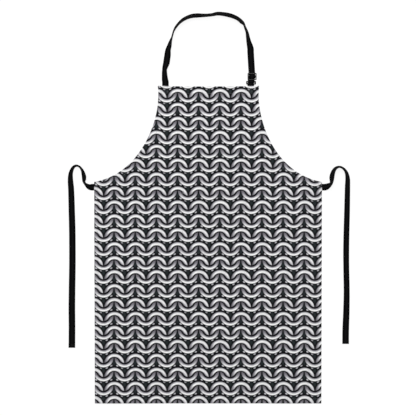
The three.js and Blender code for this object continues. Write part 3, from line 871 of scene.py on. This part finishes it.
def ring_print(tree, place):
    """Rows of interlinked rings, each shaded as a round bar, with dark gaps between them."""
    across, up, _ = split(tree, place)
    column = across * (1000 / print_column) + column_shift
    row = (up * -1 + first_row_y) * (1000 / print_row)
    swing = (column - 0.5525) * (2 * math.pi)
    wave = swing.worked("COSINE") * -0.207 + 0.705
    below = (row - wave).worked("FRACT")
    level = wave + below
    slope = swing.worked("SINE") * 0.892
    nearest = below.worked("MINIMUM", below * -1 + 1)
    groove_distance = nearest * print_row / (slope * slope + 1).worked("SQRT")
    groove = groove_distance.faded(0.6, 1.5)

    def bar(column_middle, row_middle, squeeze, radius):
        x = ((column - column_middle + 0.5).worked("FRACT") - 0.5) * print_column
        y = (level - row_middle) * (-print_row * squeeze)
        distance = (x * x + y * y).worked("SQRT")
        side = (distance - radius) * (1 / ring_bar_half)
        inside = side.worked("ABSOLUTE").faded(0.8, 1.02)
        stroke = tree.nodes.new("ShaderNodeCombineXYZ")
        feed(tree, stroke.inputs[0], distance * 1.6)
        feed(tree, stroke.inputs[1], y.worked("ARCTAN2", x) * 2.5)
        feed(tree, stroke.inputs[2], column.worked("FLOOR") + row.worked("FLOOR") * 3.7)
        drawn = cloud(tree, stroke.outputs[0], 1.0, 3) * 0.6 + 0.7
        return x / distance, y / distance, side, inside, drawn

    x, y, side, arch, drawn = bar(0.555, 1.933, 1.025, 24.3)
    shine = (side * side) * -0.32 + 0.94 + side * (x * 0.29 - y * 0.19)
    arch_shine = shine * drawn * ((y + x * 0.2).eased(-0.15, 0.85) * 0.46 + 0.54)
    x, y, side, cup, drawn = bar(0.05, 0.52, 1.06, 24.4)
    shine = (side * side) * -0.3 + 0.88 - side * y * 0.4
    cup_shine = shine * drawn * ((y * -1).eased(0, 0.95) * 0.56 + 0.44)

    def spot(column_middle, row_middle, tilt, long, wide, soft):
        x = ((column - column_middle + 0.5).worked("FRACT") - 0.5) * print_column
        y = ((row - row_middle + 0.5).worked("FRACT") - 0.5) * -print_row
        a = (x * math.cos(tilt) + y * math.sin(tilt)) * (1 / long)
        b = (y * math.cos(tilt) - x * math.sin(tilt)) * (1 / wide)
        return (a * a + b * b).worked("SQRT").faded(*soft)

    gaps = spot(0.555, 0.9, 0, 5, 8, (0.3, 1.25))
    gaps = gaps.worked("MAXIMUM", spot(0.05, 0.42, 0, 5.5, 8, (0.3, 1.25)))
    glints = ((0.207, 0.25, 0.5, 0.66), (0.422, 0.093, 0.5, 0.62),
              (0.703, 0.093, -0.5, 0.78), (0.925, 0.267, -0.5, 0.42))
    glint = 0
    for column_middle, row_middle, tilt, strength in glints:
        shown = spot(column_middle, row_middle, tilt, 4.2, 2.4, (0.5, 1.1)) * strength
        glint = shown.worked("MAXIMUM", glint)

    def metal(shine):
        ramp = tree.nodes.new("ShaderNodeValToRGB")
        ramp.color_ramp.elements[0].color = paint("0f0f13")
        ramp.color_ramp.elements[1].color = paint("ffffff")
        for position, code in ((0.25, "474649"), (0.5, "807d85"), (0.75, "bfbec3")):
            ramp.color_ramp.elements.new(position).color = paint(code)
        feed(tree, ramp.inputs[0], shine)
        return ramp.outputs[0]

    colour = between(tree, gaps, paint("0f1013"), paint("272d2f"))
    colour = between(tree, glint, colour, paint("dddce2"))
    colour = between(tree, arch, colour, metal(arch_shine))
    colour = between(tree, cup, colour, metal(cup_shine))
    return between(tree, groove, colour, paint("1b1a1e"))


yarn_repeat = 0.0011


def cloth_material(name, printed):
    """Plain-woven cotton and polyester cloth; its back shows the print only as a ghost."""
    material, tree, shader = new_material(name, 0.9)
    place = mapped(tree, "print")
    across, up, _ = split(tree, place)
    warp = (across * (2 * math.pi / yarn_repeat)).worked("SINE")
    weft = (up * (2 * math.pi / yarn_repeat)).worked("SINE")
    weave = warp * weft * 0.5 + 0.5
    slub = cloud(tree, place, 700, 3)
    soft = cloud(tree, place, 9)
    colour = ring_print(tree, place)
    if not printed:
        colour = between(tree, 0.86, colour, paint("c9c9cc"))
    dye = weave * 0.06 + slub * 0.16 + soft * 0.06 + 0.84
    dyed = tree.nodes.new("ShaderNodeVectorMath")
    dyed.operation = "SCALE"
    feed(tree, dyed.inputs[0], colour)
    feed(tree, dyed.inputs["Scale"], dye)
    tree.links.new(dyed.outputs[0], shader.inputs["Base Color"])
    feed(tree, shader.inputs["Roughness"], slub * 0.2 + 0.76)
    shader.inputs["Sheen Weight"].default_value = 0.015
    shader.inputs["Sheen Roughness"].default_value = 0.5
    shader.inputs["Specular IOR Level"].default_value = 0.08
    raised(tree, shader, weave * 0.7 + slub * 0.5, 0.00012, 0.6)
    return material


printed_cloth = cloth_material("printed_cloth", True)
cloth_back = cloth_material("cloth_back", False)
panel = folded_cloth(
    "cloth_panel", panel_cut, panel_height, panel_back,
    (hem_front, hem_middle, hem_back), [printed_cloth, cloth_back], True,
)
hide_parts("apron_panel")
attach(panel, "apron")

# ---- Patch pocket ----
# A second piece of the same cloth, cut so that its print lines up with the panel's. Its sides and
# bottom are turned under and sewn down, and its mouth has a deeper hem and stands a little open.
pocket_half = 0.074
pocket_bottom = -0.026
pocket_mouth = 0.155
pocket_hem = 0.022
pocket_turning = 0.01
pocket_lift = 0.00125

pocket_edge_places = (0, 0.003, 0.006, 0.009, 0.013)
pocket_row_places = list(pocket_edge_places)
pocket_row_places += [pocket_edge_places[-1] + 0.0052 * i for i in range(1, 27)]
pocket_row_places += [0.153 + 0.004 * i for i in range(8)]
pocket_rows = []
for rise in pocket_row_places:
    places = [-pocket_half + place for place in pocket_edge_places]
    inner = pocket_half - 0.018
    even = [inner * (2 * i / 24 - 1) for i in range(25)]
    across_places = places + even + [-place for place in reversed(places)]
    pocket_rows.append([(x, pocket_bottom + rise) for x in across_places])
pocket_cut = Cut(
    pocket_rows,
    sides_of(pocket_rows, []),
    [pocket_turning, pocket_turning, pocket_hem, pocket_turning],
)


def pocket_gap(x, y):
    """How far the pocket stands off the panel: sewn down at three sides, loose at the mouth."""
    side = ease((pocket_half - abs(x)) / 0.05)
    up = min(max((y - pocket_bottom) / (pocket_mouth - pocket_bottom), 0), 1)
    return side * (0.0004 + 0.0019 * up ** 3)


def pocket_height(x, y):
    """How high the middle of the pocket's front layer lies."""
    distance, _, along = pocket_cut.from_edge(x, y)
    seam = math.exp(-(((distance - seam_inset) / 0.0025) ** 2))
    pucker = noise.noise(Vector((along * 0.4, 8.8, 0))) * 0.0003 * (1 - seam)
    return panel_height(x, y) + pocket_lift + pocket_gap(x, y) - 0.0002 * seam + pucker


def pocket_back(x, y):
    """How high the turned layer under the pocket's edge lies."""
    return panel_height(x, y) + 0.00045 + pocket_gap(x, y)


pocket = folded_cloth(
    "pocket_patch", pocket_cut, pocket_height, pocket_back,
    (pocket_lift, 0.0008, 0.00045), [printed_cloth, cloth_back], False,
)
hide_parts("pocket")
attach(pocket, "apron")

# ---- Seams ----
# Lockstitch in grey spun thread: a row along every hem, round the pocket and across its mouth, a
# box with a cross over each strap end, and short bars at the pocket's top corners.
stitch_length = 0.0032
short_stitch = 0.0026
thread_thickness = 0.00042


def thread_material(name, light, dark):
    """Spun thread, twisted as it was made."""
    material, tree, shader = new_material(name, 0.7)
    place = tree.nodes.new("ShaderNodeTexCoord").outputs["Object"]
    x, y, _ = split(tree, place)
    twist = ((x + y) * (2 * math.pi / 0.0005)).worked("SINE") * 0.5 + 0.5
    fluff = cloud(tree, place, 2500)
    colour = between(tree, twist * 0.5 + fluff * 0.5, paint(dark), paint(light))
    tree.links.new(colour, shader.inputs["Base Color"])
    feed(tree, shader.inputs["Roughness"], fluff * 0.2 + 0.6)
    shader.inputs["Sheen Weight"].default_value = 0.1
    raised(tree, shader, twist, 0.00005)
    return material


grey_thread = thread_material("grey_thread", "a2a2a6", "626266")
black_thread = thread_material("black_thread", "2a2a2d", "0c0c0d")


def stitching_tree():
    """Lays a stitch at even steps along a line: half a step is thread, half dips into the cloth."""
    tree = bpy.data.node_groups.new("stitching", "GeometryNodeTree")
    sockets = tree.interface
    sockets.new_socket("Line", in_out="INPUT", socket_type="NodeSocketGeometry")
    for label in ("Stitch length", "Thread thickness", "Thread share"):
        sockets.new_socket(label, in_out="INPUT", socket_type="NodeSocketFloat")
    sockets.new_socket("Thread", in_out="INPUT", socket_type="NodeSocketMaterial")
    sockets.new_socket("Stitches", in_out="OUTPUT", socket_type="NodeSocketGeometry")
    given = tree.nodes.new("NodeGroupInput").outputs
    line = tree.nodes.new("GeometryNodeMeshToCurve")
    steps = tree.nodes.new("GeometryNodeResampleCurve")
    steps.mode = "LENGTH"
    stitch = tree.nodes.new("GeometryNodeMeshUVSphere")
    stitch.inputs["Segments"].default_value = 8
    stitch.inputs["Rings"].default_value = 5
    stitch.inputs["Radius"].default_value = 0.5
    reach = tree.nodes.new("ShaderNodeMath")
    reach.operation = "MULTIPLY"
    size = tree.nodes.new("ShaderNodeCombineXYZ")
    laid = tree.nodes.new("GeometryNodeInstanceOnPoints")
    facing = tree.nodes.new("FunctionNodeAlignRotationToVector")
    facing.axis = "X"
    along = tree.nodes.new("GeometryNodeInputTangent")
    real = tree.nodes.new("GeometryNodeRealizeInstances")
    smooth = tree.nodes.new("GeometryNodeSetShadeSmooth")
    dyed = tree.nodes.new("GeometryNodeSetMaterial")
    result = tree.nodes.new("NodeGroupOutput")
    for source, target in (
        (given["Line"], line.inputs["Mesh"]),
        (line.outputs[0], steps.inputs["Curve"]),
        (given["Stitch length"], steps.inputs["Length"]),
        (steps.outputs[0], laid.inputs["Points"]),
        (stitch.outputs["Mesh"], laid.inputs["Instance"]),
        (given["Stitch length"], reach.inputs[0]),
        (given["Thread share"], reach.inputs[1]),
        (reach.outputs[0], size.inputs["X"]),
        (given["Thread thickness"], size.inputs["Y"]),
        (given["Thread thickness"], size.inputs["Z"]),
        (size.outputs[0], laid.inputs["Scale"]),
        (along.outputs[0], facing.inputs["Vector"]),
        (facing.outputs[0], laid.inputs["Rotation"]),
        (laid.outputs[0], real.inputs[0]),
        (real.outputs[0], smooth.inputs[0]),
        (smooth.outputs[0], dyed.inputs["Geometry"]),
        (given["Thread"], dyed.inputs["Material"]),
        (dyed.outputs[0], result.inputs[0]),
    ):
        tree.links.new(source, target)
    return tree


stitching = stitching_tree()


def sewn(name, lines, thread, length=stitch_length):
    """Sews along each line of points and leaves the stitches as one plain mesh."""
    vertices, edges = [], []
    for line in lines:
        start = len(vertices)
        vertices += [tuple(point) for point in line]
        edges += [(start + i, start + i + 1) for i in range(len(line) - 1)]
    mesh = bpy.data.meshes.new(name + "_line")
    mesh.from_pydata(vertices, edges, [])
    row = placed(name, mesh)
    sewing = row.modifiers.new("stitching", "NODES")
    sewing.node_group = stitching
    values = {
        "Stitch length": length,
        "Thread thickness": thread_thickness,
        "Thread share": 0.82,
        "Thread": thread,
    }
    for item in stitching.interface.items_tree:
        if item.in_out == "INPUT" and item.name in values:
            sewing[item.identifier] = values[item.name]
    shown = row.evaluated_get(bpy.context.evaluated_depsgraph_get())
    stitches = bpy.data.meshes.new_from_object(shown)
    row.modifiers.remove(sewing)
    row.data = stitches
    stitches.name = name
    return row


def on_panel(points):
    """Lays a line of points on the panel's front."""
    top = cloth_thickness / 2 + 0.00005
    return [(x, y, panel_height(x, y) + top) for x, y in points]


def under_panel(points):
    """Lays the same line on the panel's back, where the hem is."""
    return [(x, y, panel_back(x, y) - cloth_thickness / 2 - 0.00002) for x, y in points]


def straight(start, end, spacing=0.003):
    """Points at even steps from start to end."""
    start, end = Vector(start), Vector(end)
    steps = max(1, round((end - start).length / spacing))
    return [tuple(start.lerp(end, i / steps)) for i in range(steps + 1)]


seam_loop = panel_cut.moved_in(lambda hem: hem - seam_inset)
counts = [len(side) - 1 for side in panel_cut.sides]
starts = [sum(counts[:i]) for i in range(len(counts))]
seam_names = (
    "hem_stitch_bottom", "hem_stitch_right_side", "hem_stitch_right_armhole",
    "hem_stitch_top", "hem_stitch_left_armhole", "hem_stitch_left_side",
)
for seam_name, start, count in zip(seam_names, starts, counts):
    row = [seam_loop[(start + i) % len(seam_loop)] for i in range(count + 1)]
    points = [(point.x, point.y) for point in row]
    seam = sewn(seam_name + "_rows", [on_panel(points), under_panel(points)], grey_thread)
    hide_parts(seam_name)
    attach(seam, "apron")


def box_and_cross(x, y, half_x, half_y):
    """A box of stitching and its two diagonals."""
    corners = [(x - half_x, y - half_y), (x + half_x, y - half_y),
               (x + half_x, y + half_y), (x - half_x, y + half_y)]
    box = [straight(a, b) for a, b in zip(corners, corners[1:] + corners[:1])]
    return box + [straight(corners[0], corners[2]), straight(corners[1], corners[3])]


box_half = 0.0068
tie_box_half = 0.0026
neck_box_y = bib_top - 0.0095
tie_box_x = waist_half - 0.0053
for node_name, x, y, half_x in (
    ("neck_strap_stitch", -strap_middle, neck_box_y, box_half),
    ("strap_tab_stitch", strap_middle, neck_box_y, box_half),
    ("left_tie_stitch", -tie_box_x, tie_y, tie_box_half),
    ("right_tie_stitch", tie_box_x, tie_y, tie_box_half),
):
    lines = box_and_cross(x, y, half_x, box_half)
    lines = [on_panel(line) for line in lines]
    boxed = sewn(node_name + "_rows", lines, grey_thread, short_stitch)
    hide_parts(node_name)
    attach(boxed, "apron")


def on_pocket(points):
    """Lays a line of points on the pocket's front."""
    return [(x, y, pocket_height(x, y) + cloth_thickness / 2 + 0.00005) for x, y in points]


seam_x = pocket_half - seam_inset
seam_foot = pocket_bottom + seam_inset
seam_head = pocket_mouth - seam_inset
pocket_lines = [
    straight((-seam_x, seam_head), (-seam_x, seam_foot)),
    straight((-seam_x, seam_foot), (seam_x, seam_foot)),
    straight((seam_x, seam_foot), (seam_x, seam_head)),
]
pocket_seam = sewn("pocket_seam_rows", [on_pocket(line) for line in pocket_lines], grey_thread)
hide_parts("pocket_seam_stitch")
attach(pocket_seam, "apron")

hem_row_y = pocket_mouth - pocket_hem + seam_inset
mouth_row = straight((-seam_x + 0.003, hem_row_y), (seam_x - 0.003, hem_row_y))
mouth_seam = sewn("pocket_hem_rows", [on_pocket(mouth_row)], grey_thread)
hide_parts("pocket_hem_stitch")
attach(mouth_seam, "apron")

bars = []
for side in (-1, 1):
    for i in range(9):
        y = seam_head - 0.0009 * i
        left_end, right_end = side * seam_x - short_stitch / 2, side * seam_x + short_stitch / 2
        bars.append(on_pocket(straight((left_end, y), (right_end, y), short_stitch)))
corner_bars = sewn("pocket_corner_bars", bars, grey_thread, short_stitch)
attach(corner_bars, "apron")

for side_name, side in (("left", -1), ("right", 1)):
    tip, across, _ = tie_rows[side_name][-1]
    middle = tip + Vector((0, -0.004, webbing_thickness / 2 + 0.0001))
    lines = [
        [middle + across * step * 0.0015 + Vector((0, drop, 0)) for step in range(-5, 6)]
        for drop in (0, -0.0022)
    ]
    tip_row = sewn(f"{side_name}_tie_tip_rows", lines, black_thread, 0.0024)
    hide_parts(f"{side_name}_tie_tip_stitch")
    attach(tip_row, f"{side_name}_waist_tie")

# ---- Floor and light ----
# A plain pale light table, glowing evenly from below, under a wide soft lamp in a white room.
floor_mesh = bpy.data.meshes.new("floor")
floor_corners = [(x, y, -0.0002) for x, y in ((-9, -9), (9, -9), (9, 9), (-9, 9))]
floor_mesh.from_pydata(floor_corners, [], [(0, 1, 2, 3)])
floor = placed("floor", floor_mesh)
paper, _, paper_shader = new_material("pale_floor", 0.9)
paper_shader.inputs["Base Color"].default_value = (0.14, 0.14, 0.14, 1)
paper_shader.inputs["Specular IOR Level"].default_value = 0.0
paper_shader.inputs["Emission Color"].default_value = (1, 1, 1, 1)
paper_shader.inputs["Emission Strength"].default_value = 0.9
floor_mesh.materials.append(paper)

lamp_data = bpy.data.lights.new("soft_lamp", "AREA")
lamp_data.shape = "DISK"
lamp_data.size = 2.6
lamp_data.energy = 78
lamp = placed("soft_lamp", lamp_data)
lamp.location = (-0.3, 2.3, 3.2)
lamp.rotation_euler = (-lamp.location).to_track_quat("-Z", "Y").to_euler()

room = bpy.data.worlds.new("white_room")
bpy.context.scene.world = room
room.use_nodes = True
room.node_tree.nodes["Background"].inputs["Color"].default_value = (1, 1, 1, 1)
room.node_tree.nodes["Background"].inputs["Strength"].default_value = 0.56
bpy.context.scene.view_settings.view_transform = "Standard"
bpy.context.scene.view_settings.look = "None"
